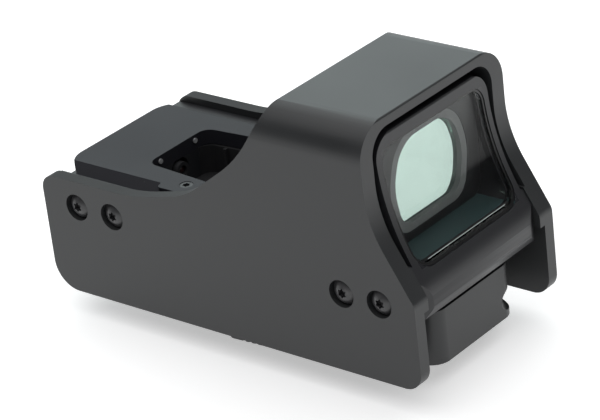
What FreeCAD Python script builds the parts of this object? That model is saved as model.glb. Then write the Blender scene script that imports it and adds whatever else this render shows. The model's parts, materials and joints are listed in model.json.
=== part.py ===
"""Hooded reflex dot sight on a cross-slot rail clamp, built as separate pieces.

Right-handed frame in millimetres: +X right, +Y towards the target, +Z up.
The pieces are laid out with Z = 0 at the lower edge of the hood panels and Y = 0 at their
rear edge.  They are written out moved, so that the origin lies under the middle of the
whole sight at the level of the clamp's feet.
"""
import FreeCAD, Part
import math
import os

V = FreeCAD.Vector

# ---- hood: one folded shell with two side panels and a roof
WIDTH = 50.0
PANEL_LENGTH = 103.6
HOOD_HEIGHT = 57.5
PANEL_THICK = 3.1
ROOF_THICK = 2.3
ROOF_ROUND = 7.9
RIM_THICK = 4.1
LEG_THICK = 4.7
ROOF_LENGTH = 25.9
ROOF_SETBACK = 10.2
LEG_TOP_DROP = 1.9
LEG_FOOT_DROP = 10.9
CHEEK_CORNER_DROP = 8.1
CHEEK_LEAN = 0.6
KNEE_ROUND = 26.0
WINDOW_KNEE_ROUND = 50.0

# ---- deck and lower body
DECK_Z = 28.4
DECK_HALF = 16.35
DECK_STEP_OUT = 2.0
DECK_STEP_Y = 28.8
DECK_THICK = 3.5
DECK_CORNER = 5.0
DECK_SKIRT_CORNER = 7.0
DECK_LIP = 0.7
WALL_TOP_DROP = 1.7
BODY_REAR_Y = 0.85
BODY_SETBACK = 15.6
BODY_FLOOR_Z = 3.5
SKIN_GAP = 0.05
PLATE_GAP = 0.1
WELL_REAR_Y = 19.0
WELL_HALF = 10.0
WELL_FLARE = 0.081
WELL_SETBACK = 7.8
WELL_FLOOR_Z = 17.2
WALL = 1.4
RIB_INSET = 5.5
RIB_PITCH = 5.8

# ---- window housing
HOUSING_SETBACK = 0.3
HOUSING_SIDE_GAP = 1.4
HOUSING_ROOF_GAP = 1.8
HOUSING_FLOOR_DROP = 5.5
LIP_SETBACK = 0.35
LIP_WIDTH = 1.45
LIP_ROOF = 2.65
GLASS_THICK = 1.5
GLASS_SHELF = 0.65
GLASS_DROP = 4.2
GLASS_RECESS = 0.7
GLASS_CORNER = 4.4
BEAD = 0.5
CHIN_EDGE_SETBACK = 0.95
CHIN_EDGE_DROP = 14.0
CHIN_TOP_DROP = 7.5
CHIN_FACET_X = 18.3
CHIN_ROUND = 10.0
LENS_WALL_SETBACK = 2.8
LENS_SETBACK = 1.4
LENS_THICK = 3.0
LENS_HALF = 11.6
LENS_RING_WIDTH = 1.8
LENS_SEAT = 1.1
LENS_DROP = -0.2

# ---- fasteners
M3_SHANK = 1.45
M3_FIT = 0.05
BUTTON_HEAD_R = 2.85
BUTTON_HEAD_H = 1.7
BUTTON_HEAD_EDGE = 0.5
BUTTON_SOCKET_R = 1.05
COUNTERBORE_R = 3.2
COUNTERBORE_DEPTH = 1.75
SCREW_REACH = 6.0
REAR_SCREW_Y = 9.9
REAR_SCREW_PITCH = 10.5
REAR_SCREW_DROP = 6.45
FRONT_SCREW_SETBACK = 9.2
FRONT_SCREW_PITCH = 9.9
FRONT_SCREW_DROP = 9.7
SMALL_SHANK = 1.0
SMALL_HOLE = 1.05
SMALL_HEAD_R = 1.5
SMALL_HEAD_H = 1.1
DECK_SCREW_X = 14.5
DECK_SCREW_REAR_Y = 34.3
DECK_SCREW_SETBACK = 3.2
HOUSING_SCREW_X = 17.0
HOUSING_SCREW_INSET = 3.5
HOUSING_SCREW_PITCH = 8.0
HOUSING_BITE = 4.0

# ---- battery, buttons and electronics in the rear face
CELL_R = 5.15
CELL_LENGTH = 44.5
CELL_X = 11.5
CELL_Z = 10.4
CELL_GAP = 0.35
CAP_FLANGE = 0.5
CAP_PROUD = 2.2
CAP_THREAD = 5.0
CAP_THREAD_WALL = 1.05
RING_R = 0.6
BAY_LEFT = -18.2
BAY_FLOOR_Z = 5.0
BAY_ROOF_Z = 15.6
BAY_FRONT_Y = 46.0
BUTTON_R = 3.6
BUTTON_FIT = 0.1
BUTTON_X = (-13.0, -2.6)
BUTTON_Z = 10.4
BUTTON_PROUD = 1.1
BUTTON_TRAVEL = 0.6
FRAME_THICK = 0.9
BOARD_THICK = 1.2

# ---- emitter and its two adjusters
EMITTER_Z = 22.2
CHAMBER_REAR_Y = 10.4
CHAMBER_HALF = 10.6
CHAMBER_FLOOR_Z = 16.6
TUBE_R = 2.1
APERTURE_R = 3.0
ADJUSTER_R = 1.25
ADJUSTER_HEAD_R = 1.6
ADJUSTER_FLOAT = 0.4
WINDAGE_Z = 20.1
ELEVATION_Z = 12.6
WEDGE_TRAVEL = 1.0
WEDGE_SLOPE = 0.25
WEDGE_LEFT = -8.5
WEDGE_RIGHT = -1.5
WEDGE_HALF_Y = 2.1
SHELF_THICK = 1.3
RUN_GAP = 0.06

# ---- rail clamp
FOOT_HALF = 14.5
FOOT_OVERHANG = 19.0
NOSE_SETBACK = 3.7
NOSE_TOP_Z = 12.1
NOSE_ROUND = 4.2
SEAT_Z = -0.5
RAIL_TOP_HALF = 7.9
RAIL_HALF = 10.7
RAIL_CORNER_DROP = 2.8
JAW_DROP = 5.6
JAW_LENGTH = 38.0
JAW_SETBACK = 4.0
JAW_TRAVEL = 1.4
SLOT_FIT = 0.1
BOLT_R = 1.9
BOLT_FIT = 0.08
BOLT_SETBACK = 6.0
PIN_INSET = 6.0
BOLT_Z = 0.15
LEVER_INNER_X = 16.2
LEVER_THICK = 3.9
LEVER_OVERHANG = 0.4
LEVER_BOSS_R = 2.95
LEVER_TIP_Z = -4.1
NUT_THICK = 3.0
NUT_R = 3.15
SCALLOP_R = 2.6
SCALLOP_DEPTH = 2.0
SCALLOP_Z = 3.4
FOOT_SCREW_X = 6.5
FOOT_SCREW_GAPS = (8.0, 7.0)
FOOT_SCREW_HEAD_DROP = 1.6

# ---- roundings of this size and more are cut into short arcs, which stay smooth when meshed
LARGE_ROUND = 3.5
ROUND_STEP = math.radians(6)

# ---- places that follow from the sizes above
ROOF_FRONT_Y = PANEL_LENGTH - ROOF_SETBACK
ROOF_REAR_Y = ROOF_FRONT_Y - ROOF_LENGTH
BODY_FRONT_Y = PANEL_LENGTH - BODY_SETBACK
HOUSING_REAR_Y = ROOF_REAR_Y + HOUSING_SETBACK
WELL_FRONT_Y = HOUSING_REAR_Y - WELL_SETBACK
CHIN_EDGE_Y = PANEL_LENGTH - CHIN_EDGE_SETBACK
LENS_WALL_FRONT_Y = ROOF_FRONT_Y - LENS_WALL_SETBACK
LENS_FRONT_Y = LENS_WALL_FRONT_Y - LENS_SETBACK
DECK_SCREW_Y = (DECK_SCREW_REAR_Y, HOUSING_REAR_Y - DECK_SCREW_SETBACK)
HOUSING_SCREW_FIRST_Y = HOUSING_REAR_Y + HOUSING_SCREW_INSET
HOUSING_SCREW_Y = (HOUSING_SCREW_FIRST_Y, HOUSING_SCREW_FIRST_Y + HOUSING_SCREW_PITCH)
NOSE_FRONT_Y = PANEL_LENGTH - NOSE_SETBACK
JAW_FRONT_Y = BODY_FRONT_Y - JAW_SETBACK
JAW_REAR_Y = JAW_FRONT_Y - JAW_LENGTH
BOLT_Y = JAW_FRONT_Y - BOLT_SETBACK
PIN_Y = JAW_REAR_Y + PIN_INSET
FOOT_REAR_Y = JAW_REAR_Y - FOOT_OVERHANG
FOOT_SCREW_Y = (PIN_Y + FOOT_SCREW_GAPS[0], BOLT_Y - FOOT_SCREW_GAPS[1])
LEVER_TIP_Y = JAW_REAR_Y - LEVER_OVERHANG
LEG_TOP_Z = DECK_Z - LEG_TOP_DROP
LEG_FOOT_Z = DECK_Z - LEG_FOOT_DROP
CHEEK_CORNER_Z = DECK_Z - CHEEK_CORNER_DROP
GLASS_BOTTOM_Z = DECK_Z - GLASS_DROP
CHIN_EDGE_Z = DECK_Z - CHIN_EDGE_DROP
CHIN_TOP_Z = DECK_Z - CHIN_TOP_DROP
LENS_BOTTOM_Z = DECK_Z - LENS_DROP
FRONT_SCREW_Z = DECK_Z - FRONT_SCREW_DROP
M3_HOLE = M3_SHANK + M3_FIT
CAP_THREAD_R = CELL_R + CAP_THREAD_WALL
CAP_R = CAP_THREAD_R + CAP_FLANGE
HALF = WIDTH / 2
INNER_HALF = HALF - PANEL_THICK
RIM_HALF = HALF - RIM_THICK
LEG_HALF = HALF - LEG_THICK
ROOF_UNDER_Z = HOOD_HEIGHT - ROOF_THICK
BODY_HALF = INNER_HALF - SKIN_GAP
WALL_TOP_Z = DECK_Z - WALL_TOP_DROP
PLATE_FLOOR_Z = DECK_Z - DECK_THICK
PLATE_HALF = DECK_HALF + DECK_STEP_OUT + DECK_LIP
HOUSING_HALF = RIM_HALF - HOUSING_SIDE_GAP
HOUSING_TOP_Z = ROOF_UNDER_Z - HOUSING_ROOF_GAP
HOUSING_FLOOR_Z = DECK_Z - HOUSING_FLOOR_DROP
GLASS_HALF = HOUSING_HALF - LIP_WIDTH
GLASS_TOP_Z = HOUSING_TOP_Z - LIP_ROOF
TUNNEL_HALF = GLASS_HALF - GLASS_SHELF
TUNNEL_TOP_Z = GLASS_TOP_Z - GLASS_SHELF
TUNNEL_FLOOR_Z = GLASS_BOTTOM_Z + GLASS_SHELF
LENS_TOP_Z = TUNNEL_TOP_Z - LENS_RING_WIDTH - 0.5
REAR_SCREW_Z = DECK_Z - REAR_SCREW_DROP
ADJUSTER_Y = REAR_SCREW_Y + REAR_SCREW_PITCH / 2
SLED_LIFT = WEDGE_TRAVEL * WEDGE_SLOPE
SHELF_TOP_Z = ELEVATION_Z - ADJUSTER_R - 0.6
BAY_RIGHT = CELL_X - CAP_THREAD_R - WALL
FEET_Z = SEAT_Z - JAW_DROP
ORIGIN = V(0, (PANEL_LENGTH - CAP_PROUD + BODY_REAR_Y) / 2, FEET_Z)


# ================================================================ shape helpers
def on_yz(x):
    """Places a flat outline in the plane X = x, its first number along Y."""
    return lambda a, b: V(x, a, b)


def on_xz(y):
    """Places a flat outline in the plane Y = y, its first number along X."""
    return lambda a, b: V(a, y, b)


def on_xy(z):
    """Places a flat outline in the plane Z = z, its first number along X."""
    return lambda a, b: V(a, b, z)


def arc_edges(start, end, centre):
    """Edges of one rounding; a large one becomes a row of short arcs."""
    spoke = start - centre
    sweep = spoke.getAngle(end - centre)
    count = math.ceil(sweep / ROUND_STEP) if spoke.Length >= LARGE_ROUND else 1
    half_turn = FreeCAD.Rotation(spoke.cross(end - centre), math.degrees(sweep / count / 2))
    edges = []
    for _ in range(count):
        middle = half_turn.multVec(spoke)
        following = half_turn.multVec(middle)
        edges.append(Part.Arc(centre + spoke, centre + middle, centre + following).toShape())
        spoke = following
    return edges


def loop(corners, place):
    """Face inside a closed outline; each corner is (a, b, radius of its rounding)."""
    count = len(corners)
    ends = []
    for i in range(count):
        a, b, radius = corners[i]
        here = V(a, b, 0)
        back = V(*corners[i - 1][:2], 0) - here
        ahead = V(*corners[(i + 1) % count][:2], 0) - here
        if radius <= 0:
            ends.append((here, None, here))
            continue
        half = back.getAngle(ahead) / 2
        back.normalize()
        ahead.normalize()
        run = radius / math.tan(half)
        middle = back + ahead
        middle.normalize()
        centre = here + middle * (radius / math.sin(half))
        ends.append((here + back * run, centre, here + ahead * run))
    edges = []
    for i in range(count):
        start, centre, end = [p and place(p.x, p.y) for p in ends[i]]
        if centre:
            edges.extend(arc_edges(start, end, centre))
        following = place(ends[(i + 1) % count][0].x, ends[(i + 1) % count][0].y)
        if end.distanceToPoint(following) > 1e-6:
            edges.append(Part.LineSegment(end, following).toShape())
    return Part.Face(Part.Wire(edges))


def along_x(corners, x0, x1):
    """Solid with a Y-Z outline, between two X planes."""
    return loop(corners, on_yz(x0)).extrude(V(x1 - x0, 0, 0))


def along_y(corners, y0, y1):
    """Solid with an X-Z outline, between two Y planes."""
    return loop(corners, on_xz(y0)).extrude(V(0, y1 - y0, 0))


def along_z(corners, z0, z1):
    """Solid with an X-Y outline, between two Z planes."""
    return loop(corners, on_xy(z0)).extrude(V(0, 0, z1 - z0))


def box(x0, x1, y0, y1, z0, z1):
    return Part.makeBox(x1 - x0, y1 - y0, z1 - z0, V(x0, y0, z0))


def rod(radius, start, end):
    """Round bar between two points."""
    return Part.makeCylinder(radius, (end - start).Length, start, end - start)


def slab(half, z0, z1, radius):
    """Corners of an upright rectangle about X = 0 with equal roundings."""
    return [(-half, z0, radius), (half, z0, radius), (half, z1, radius), (-half, z1, radius)]


def arch(half, z0, z1, radius):
    """Corners of an upright shape about X = 0 that is rounded at the top only."""
    return [(-half, z0, 0), (half, z0, 0), (half, z1, radius), (-half, z1, radius)]


def star_socket(mouth, inward, radius, depth):
    """Six-lobed driver recess that opens at a point and goes inward."""
    tool = rod(radius * 0.8, mouth, mouth + inward * depth)
    side = inward.cross(V(0.3, 0.5, 0.81))
    side.normalize()
    for i in range(6):
        spot = mouth + FreeCAD.Rotation(inward, 60 * i).multVec(side) * radius * 0.8
        tool = tool.fuse(rod(radius * 0.26, spot, spot + inward * depth))
    return tool


def button_screw(seat, outward, reach):
    """Button-head screw: its head stands on the seat and its shank goes the other way."""
    top = seat + outward * BUTTON_HEAD_H
    rise = BUTTON_HEAD_H - BUTTON_HEAD_EDGE
    dome = (BUTTON_HEAD_R ** 2 + rise ** 2) / (2 * rise)
    head = rod(BUTTON_HEAD_R, seat, top).common(Part.makeSphere(dome, top - outward * dome))
    shank = rod(M3_SHANK, seat - outward * reach, seat + outward * BUTTON_HEAD_EDGE)
    return head.fuse(shank).cut(star_socket(top, -outward, BUTTON_SOCKET_R, BUTTON_HEAD_H * 0.7))


def small_screw(seat, outward, reach):
    """Flat-head screw, head standing on the seat."""
    head = rod(SMALL_HEAD_R, seat, seat + outward * SMALL_HEAD_H)
    shank = rod(SMALL_SHANK, seat - outward * reach, seat + outward * SMALL_HEAD_H / 2)
    top = seat + outward * SMALL_HEAD_H
    return head.fuse(shank).cut(star_socket(top, -outward, 0.85, SMALL_HEAD_H * 0.6))


def save(node, *solids):
    """Writes one node, moved so that the sight's origin is the file's origin."""
    pieces = []
    for solid in solids:
        solid = solid.copy()
        solid.translate(-ORIGIN)
        pieces.extend(solid.Solids)
    shape = pieces[0] if len(pieces) == 1 else Part.makeCompound(pieces)
    if not shape.isValid():
        print(node, "is not a valid shape")
    shape.exportStep("parts/" + node + ".step")


# ================================================================ shared outlines
def front_corners(setback):
    """Front edge of hood and window housing, from the roof down to the lower cheek."""
    lean_y = ROOF_FRONT_Y - setback
    knee_z = CHEEK_CORNER_Z + (PANEL_LENGTH - setback - lean_y) / CHEEK_LEAN
    return lean_y, knee_z


def side_spots():
    """Y and Z of the four screws in each hood panel."""
    front = PANEL_LENGTH - FRONT_SCREW_SETBACK
    return [
        (REAR_SCREW_Y, REAR_SCREW_Z),
        (REAR_SCREW_Y + REAR_SCREW_PITCH, REAR_SCREW_Z),
        (front - FRONT_SCREW_PITCH, FRONT_SCREW_Z),
        (front, FRONT_SCREW_Z),
    ]


def well_half(y):
    """Half width of the light well at a place along the deck."""
    return WELL_HALF + WELL_FLARE * (y - WELL_REAR_Y)


def well_corners(grow):
    """Outline of the light well in plan, grown sideways and forward by a margin."""
    rear = well_half(WELL_REAR_Y) + grow
    front = well_half(WELL_FRONT_Y) + grow
    far_y = WELL_FRONT_Y + grow
    return [
        (-rear, WELL_REAR_Y, 2.8),
        (rear, WELL_REAR_Y, 2.8),
        (front, far_y, 2.0),
        (-front, far_y, 2.0),
    ]


# ================================================================ hood
def make_hood():
    """Shell with two panels, swept up to the roof; thicker round the window."""
    lean_y, knee_z = front_corners(0)
    side = [
        (0, 0, 6.5),
        (PANEL_LENGTH, 0, 4.5),
        (PANEL_LENGTH, CHEEK_CORNER_Z, 3.0),
        (lean_y, knee_z, KNEE_ROUND),
        (lean_y, HOOD_HEIGHT, 0.5),
        (ROOF_REAR_Y, HOOD_HEIGHT, 1.2),
        (ROOF_REAR_Y - 4.4, HOOD_HEIGHT - 10.8, 38.0),
        (ROOF_REAR_Y - 24.0, DECK_Z + 3.8, 22.0),
        (ROOF_REAR_Y - 40.0, DECK_Z, 50.0),
        (0, DECK_Z, 3.7),
    ]
    profile = along_x(side, -HALF, HALF)
    shell = profile.common(along_y(arch(HALF, -1, HOOD_HEIGHT, ROOF_ROUND), -1, PANEL_LENGTH + 1))
    under = ROOF_ROUND - ROOF_THICK
    hood = shell.cut(along_y(arch(INNER_HALF, -2, ROOF_UNDER_Z, under), -2, PANEL_LENGTH + 2))
    rim_from = DECK_Z + 1.5
    sleeve = along_y(arch(INNER_HALF + 0.5, rim_from, ROOF_UNDER_Z + 0.5, under + 0.5),
                     ROOF_REAR_Y - 12, PANEL_LENGTH)
    sleeve = sleeve.cut(along_y(arch(RIM_HALF, rim_from - 1, ROOF_UNDER_Z, under),
                                0, PANEL_LENGTH + 1))
    hood = hood.fuse(sleeve.common(profile))
    for sign in (-1, 1):
        pad_x = sorted((sign * LEG_HALF, sign * (INNER_HALF + 0.5)))
        rib_x = sorted((sign * RIM_HALF, sign * (INNER_HALF + 0.5)))
        pad = box(*pad_x, BODY_FRONT_Y + 2, PANEL_LENGTH, LEG_FOOT_Z, LEG_TOP_Z)
        rib = box(*rib_x, BODY_FRONT_Y + 2, PANEL_LENGTH, LEG_TOP_Z, rim_from + 0.5)
        hood = hood.fuse(pad.common(profile)).fuse(rib.common(profile))
        outward = V(sign, 0, 0)
        for y, z in side_spots():
            face = V(sign * HALF, y, z)
            hood = hood.cut(rod(COUNTERBORE_R, face + outward, face - outward * COUNTERBORE_DEPTH))
            hood = hood.cut(rod(M3_HOLE + 0.15, face, face - outward * (LEG_THICK + 1)))
    for z in (WINDAGE_Z, ELEVATION_Z):
        spot = V(-HALF - 1, ADJUSTER_Y, z)
        hood = hood.cut(rod(ADJUSTER_HEAD_R + ADJUSTER_FLOAT, spot, spot + V(PANEL_THICK + 2, 0, 0)))
    return hood


def side_screw(sign, y, z):
    seat = V(sign * (HALF - COUNTERBORE_DEPTH), y, z)
    return button_screw(seat, V(sign, 0, 0), PANEL_THICK - COUNTERBORE_DEPTH + SCREW_REACH)


def tapped(sign, y, z):
    """Hole for a hood screw in whatever lies behind the panel."""
    mouth = V(sign * (INNER_HALF + 0.1), y, z)
    return rod(M3_HOLE, mouth, mouth - V(sign * (SCREW_REACH + 0.6), 0, 0))


# ================================================================ body and deck
def make_body():
    """Lower body between the panels: light well, adjuster chamber, cell bore and bay."""
    body = box(-BODY_HALF, BODY_HALF, BODY_REAR_Y, BODY_FRONT_Y, BODY_FLOOR_Z, WALL_TOP_Z)
    recess = box(-PLATE_HALF - PLATE_GAP, PLATE_HALF + PLATE_GAP,
                 0, HOUSING_REAR_Y, PLATE_FLOOR_Z, DECK_Z)
    body = body.cut(recess)
    body = body.cut(box(-HALF, HALF, HOUSING_REAR_Y, PANEL_LENGTH, HOUSING_FLOOR_Z, DECK_Z))
    body = body.cut(along_z(well_corners(0.3), WELL_FLOOR_Z, DECK_Z))
    body = body.cut(box(-CHAMBER_HALF, CHAMBER_HALF, CHAMBER_REAR_Y,
                        WELL_REAR_Y - WALL, CHAMBER_FLOOR_Z, DECK_Z))
    aperture = V(0, WELL_REAR_Y - WALL - 1, EMITTER_Z)
    body = body.cut(rod(APERTURE_R, aperture, aperture + V(0, WALL + 3, 0)))
    cell = V(CELL_X, 0, CELL_Z)
    bore_end = CAP_THREAD + CELL_LENGTH + 4.0
    body = body.cut(rod(CELL_R + CELL_GAP, cell, cell + V(0, BODY_REAR_Y + bore_end, 0)))
    body = body.cut(rod(CAP_THREAD_R + 0.1, cell, cell + V(0, BODY_REAR_Y + CAP_THREAD + 0.3, 0)))
    body = body.cut(box(BAY_LEFT, BAY_RIGHT, 0, BAY_FRONT_Y, BAY_FLOOR_Z, BAY_ROOF_Z))
    body = body.cut(box(WEDGE_LEFT - 3, BAY_RIGHT, CHAMBER_REAR_Y, WELL_REAR_Y - WALL,
                        BAY_ROOF_Z - 1, CHAMBER_FLOOR_Z + 1))
    body = body.fuse(box(BAY_LEFT - 0.5, WEDGE_RIGHT + 2, ADJUSTER_Y - WEDGE_HALF_Y,
                         ADJUSTER_Y + WEDGE_HALF_Y, SHELF_TOP_Z - SHELF_THICK, SHELF_TOP_Z))
    for z, play in ((WINDAGE_Z, ADJUSTER_FLOAT), (ELEVATION_Z, RUN_GAP)):
        mouth = V(-HALF, ADJUSTER_Y, z)
        body = body.cut(rod(ADJUSTER_HEAD_R + play, mouth, V(-BODY_HALF + 1.5, ADJUSTER_Y, z)))
        body = body.cut(rod(ADJUSTER_R + play, mouth, V(WEDGE_LEFT - 2, ADJUSTER_Y, z)))
    for sign in (-1, 1):
        for y, z in side_spots():
            if y < BODY_FRONT_Y:
                body = body.cut(tapped(sign, y, z))
        for y in DECK_SCREW_Y:
            body = body.cut(rod(SMALL_HOLE, V(sign * DECK_SCREW_X, y, DECK_Z),
                                V(sign * DECK_SCREW_X, y, PLATE_FLOOR_Z - 4.6)))
        for y in HOUSING_SCREW_Y:
            foot = V(sign * HOUSING_SCREW_X, y, BODY_FLOOR_Z - 1)
            body = body.cut(rod(SMALL_HEAD_R + 0.15, foot, foot + V(0, 0, 1 + SMALL_HEAD_H + 8.2)))
            body = body.cut(rod(SMALL_HOLE, foot, V(foot.x, foot.y, HOUSING_FLOOR_Z + 1)))
        for x, y in foot_screw_spots():
            body = body.cut(rod(M3_HOLE, V(sign * x, y, BODY_FLOOR_Z - 1),
                                V(sign * x, y, BODY_FLOOR_Z + 5.6)))
    for spot in frame_screw_spots():
        body = body.cut(rod(SMALL_HOLE, V(spot.x, 0, spot.z), V(spot.x, BODY_REAR_Y + 3.6, spot.z)))
    return body.removeSplitter()


def deck_outline():
    """Top outline of the deck: narrow behind, a step wider towards the window."""
    wide = DECK_HALF + DECK_STEP_OUT
    right = [
        (DECK_HALF, BODY_REAR_Y, DECK_CORNER),
        (DECK_HALF, DECK_STEP_Y, 0.7),
        (wide, DECK_STEP_Y, DECK_STEP_OUT * 0.6),
        (wide, HOUSING_REAR_Y, 0),
    ]
    left = [(-x, y, r) for x, y, r in reversed(right)]
    return right + left


def make_deck_plate():
    """Deck with a sloped flank down each side and the mouth of the light well."""
    top = along_z(deck_outline(), PLATE_FLOOR_Z, DECK_Z)
    edge_z = DECK_Z - (PLATE_HALF - DECK_HALF)
    flank = [
        (-PLATE_HALF, PLATE_FLOOR_Z, 0),
        (PLATE_HALF, PLATE_FLOOR_Z, 0),
        (PLATE_HALF, edge_z, 0),
        (DECK_HALF, DECK_Z, 0),
        (-DECK_HALF, DECK_Z, 0),
        (-PLATE_HALF, edge_z, 0),
    ]
    trim = [
        (-PLATE_HALF, BODY_REAR_Y, DECK_SKIRT_CORNER),
        (PLATE_HALF, BODY_REAR_Y, DECK_SKIRT_CORNER),
        (PLATE_HALF, HOUSING_REAR_Y, 0),
        (-PLATE_HALF, HOUSING_REAR_Y, 0),
    ]
    skirt = along_y(flank, BODY_REAR_Y, HOUSING_REAR_Y)
    skirt = skirt.common(along_z(trim, PLATE_FLOOR_Z - 1, DECK_Z + 1))
    plate = top.fuse(skirt)
    plate = plate.cut(along_z(well_corners(0), PLATE_FLOOR_Z - 1, DECK_Z + 1))
    for sign in (-1, 1):
        for y in DECK_SCREW_Y:
            seat = V(sign * DECK_SCREW_X, y, DECK_Z)
            plate = plate.cut(rod(SMALL_HEAD_R + 0.1, seat, seat - V(0, 0, SMALL_HEAD_H + 0.1)))
            plate = plate.cut(rod(SMALL_HOLE + 0.05, seat, seat - V(0, 0, DECK_THICK + 1)))
        pin = V(sign * WELL_HALF * 0.6, WELL_REAR_Y - 2.0, DECK_Z - 1.35)
        plate = plate.cut(rod(0.6, pin, pin + V(0, 3, 0)))
    return plate


def make_deck_screws():
    screws = []
    for sign in (-1, 1):
        for y in DECK_SCREW_Y:
            seat = V(sign * DECK_SCREW_X, y, DECK_Z - SMALL_HEAD_H - 0.1)
            screws.append(small_screw(seat, V(0, 0, 1), DECK_THICK - SMALL_HEAD_H + 4.0))
    return screws


def make_well_pins():
    """Two bright dowels whose ends show in the rear wall of the well's mouth."""
    pins = []
    for sign in (-1, 1):
        start = V(sign * WELL_HALF * 0.6, WELL_REAR_Y - 2.0, DECK_Z - 1.35)
        pins.append(rod(0.6, start, start + V(0, 2.35, 0)))
    return pins


def make_well_liner():
    """Ribbed black liner that stops stray light along both sides of the well."""
    depth = PLATE_FLOOR_Z - WELL_FLOOR_Z - 0.2
    outer = along_z(well_corners(0.2), WELL_FLOOR_Z, WELL_FLOOR_Z + depth)
    inner = along_z(well_corners(-0.6), WELL_FLOOR_Z + 0.7, WELL_FLOOR_Z + depth + 1)
    liner = outer.cut(inner)
    ribs = int((WELL_FRONT_Y - WELL_REAR_Y - 1.5 * RIB_INSET) / RIB_PITCH) + 1
    for i in range(ribs):
        y = WELL_REAR_Y + RIB_INSET + RIB_PITCH * i
        half = well_half(y)
        for sign in (-1, 1):
            rib_x = sorted((sign * (half + 0.1), sign * (half - 1.5)))
            liner = liner.fuse(box(*rib_x, y, y + 0.8, WELL_FLOOR_Z + 0.5, WELL_FLOOR_Z + depth))
    mouth = V(0, WELL_REAR_Y - 1, EMITTER_Z)
    liner = liner.cut(rod(APERTURE_R, mouth, mouth + V(0, 3, 0)))
    return liner.removeSplitter()


# ================================================================ window housing
def window_layer(front_depth, back_depth):
    """Layer across the whole sight that follows the window's curved face behind it."""
    lean_y, knee_z = front_corners(LIP_SETBACK)
    drop = (math.hypot(1, CHEEK_LEAN) - 1) / CHEEK_LEAN
    edges = []
    for depth in (front_depth, back_depth):
        y = lean_y - depth
        z = knee_z - depth * drop
        edges.append([
            (y, HOOD_HEIGHT, 0),
            (y, z, WINDOW_KNEE_ROUND + depth),
            (y + (z - CHIN_EDGE_Z) * CHEEK_LEAN, CHIN_EDGE_Z, 0),
        ])
    front, back = edges
    return along_x(front + back[::-1], -HALF, HALF)


def window_outline(loss, y0, y1):
    """Upright block with the pane's rounded outline, smaller all round by a loss."""
    return along_y(slab(GLASS_HALF - loss, GLASS_BOTTOM_Z + loss, GLASS_TOP_Z - loss,
                        GLASS_CORNER - loss), y0, y1)


def chin_corners():
    """Side outline of the window housing, with the chin below the window."""
    lean_y, knee_z = front_corners(LIP_SETBACK)
    foot_y = lean_y + (knee_z - CHIN_TOP_Z) * CHEEK_LEAN
    face_y = CHIN_EDGE_Y + 0.35
    rear_y = BODY_FRONT_Y + 0.1
    return [
        (HOUSING_REAR_Y, HOUSING_FLOOR_Z, 0),
        (HOUSING_REAR_Y, HOUSING_TOP_Z, 0.6),
        (lean_y, HOUSING_TOP_Z, 0.5),
        (lean_y, knee_z, WINDOW_KNEE_ROUND),
        (face_y, CHIN_TOP_Z - (face_y - foot_y) / CHEEK_LEAN, CHIN_ROUND),
        (face_y, CHIN_EDGE_Z + 2.1, 2.6),
        (CHIN_EDGE_Y - 0.75, CHIN_EDGE_Z, 0.25),
        (rear_y, CHIN_EDGE_Z, 0.6),
        (rear_y, HOUSING_FLOOR_Z, 0),
    ]


def lens_corners(grow):
    """Lens outline: level foot, bowed sides and rounded corners."""
    half = LENS_HALF + grow
    foot = LENS_BOTTOM_Z - grow
    crown = LENS_TOP_Z + grow
    belly = (foot + crown) / 2
    reach = crown - belly
    return [
        (-half + 1.6, foot, reach * 0.45),
        (half - 1.6, foot, reach * 0.45),
        (half + 0.5, belly, reach * 1.3),
        (half - 3.0, crown, reach * 0.8),
        (-half + 3.0, crown, reach * 0.8),
        (-half - 0.5, belly, reach * 1.3),
    ]


def make_housing():
    """Window housing: a square tube from the deck to the leaning front window."""
    solid = along_x(chin_corners(), -HOUSING_HALF, HOUSING_HALF)
    solid = solid.common(along_y(arch(HOUSING_HALF, CHIN_EDGE_Z, HOUSING_TOP_Z, 5.6),
                                 HOUSING_REAR_Y - 1, PANEL_LENGTH + 5))
    lugs = along_x(chin_corners(), -LEG_HALF + PLATE_GAP, LEG_HALF - PLATE_GAP)
    lugs = lugs.common(box(-HALF, HALF, BODY_FRONT_Y + 2, PANEL_LENGTH + 5,
                           CHIN_EDGE_Z, LEG_TOP_Z - 0.4))
    solid = solid.fuse(lugs)
    for sign in (-1, 1):
        corner = [
            (sign * (CHIN_FACET_X + 6), CHIN_EDGE_Y - 3, 0),
            (sign * (CHIN_FACET_X + 6), CHIN_EDGE_Y + 3, 0),
            (sign * (CHIN_FACET_X - 6), CHIN_EDGE_Y + 3, 0),
        ]
        solid = solid.cut(along_z(corner, CHIN_EDGE_Z - 1, CHIN_TOP_Z + 3))
    rear = along_y(slab(TUNNEL_HALF, DECK_Z - 1, TUNNEL_TOP_Z, 3.5),
                   HOUSING_REAR_Y - 1, LENS_FRONT_Y)
    pocket = along_y(slab(TUNNEL_HALF, TUNNEL_FLOOR_Z, TUNNEL_TOP_Z, 3.5),
                     LENS_FRONT_Y - LENS_THICK - 1.0, PANEL_LENGTH + 9)
    recess = window_outline(0, ROOF_REAR_Y, PANEL_LENGTH + 9)
    recess = recess.common(window_layer(-20, GLASS_RECESS + GLASS_THICK))
    solid = solid.cut(rear).cut(pocket).cut(recess)
    for sign in (-1, 1):
        for y in HOUSING_SCREW_Y:
            foot = V(sign * HOUSING_SCREW_X, y, HOUSING_FLOOR_Z - 1)
            solid = solid.cut(rod(SMALL_HOLE, foot, foot + V(0, 0, HOUSING_BITE + 1.2)))
        y, z = side_spots()[3]
        solid = solid.cut(tapped(sign, y, z))
    return solid


def make_pane():
    layer = window_layer(GLASS_RECESS, GLASS_RECESS + GLASS_THICK - 0.02)
    return layer.common(window_outline(0.12, ROOF_REAR_Y, PANEL_LENGTH))


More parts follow.
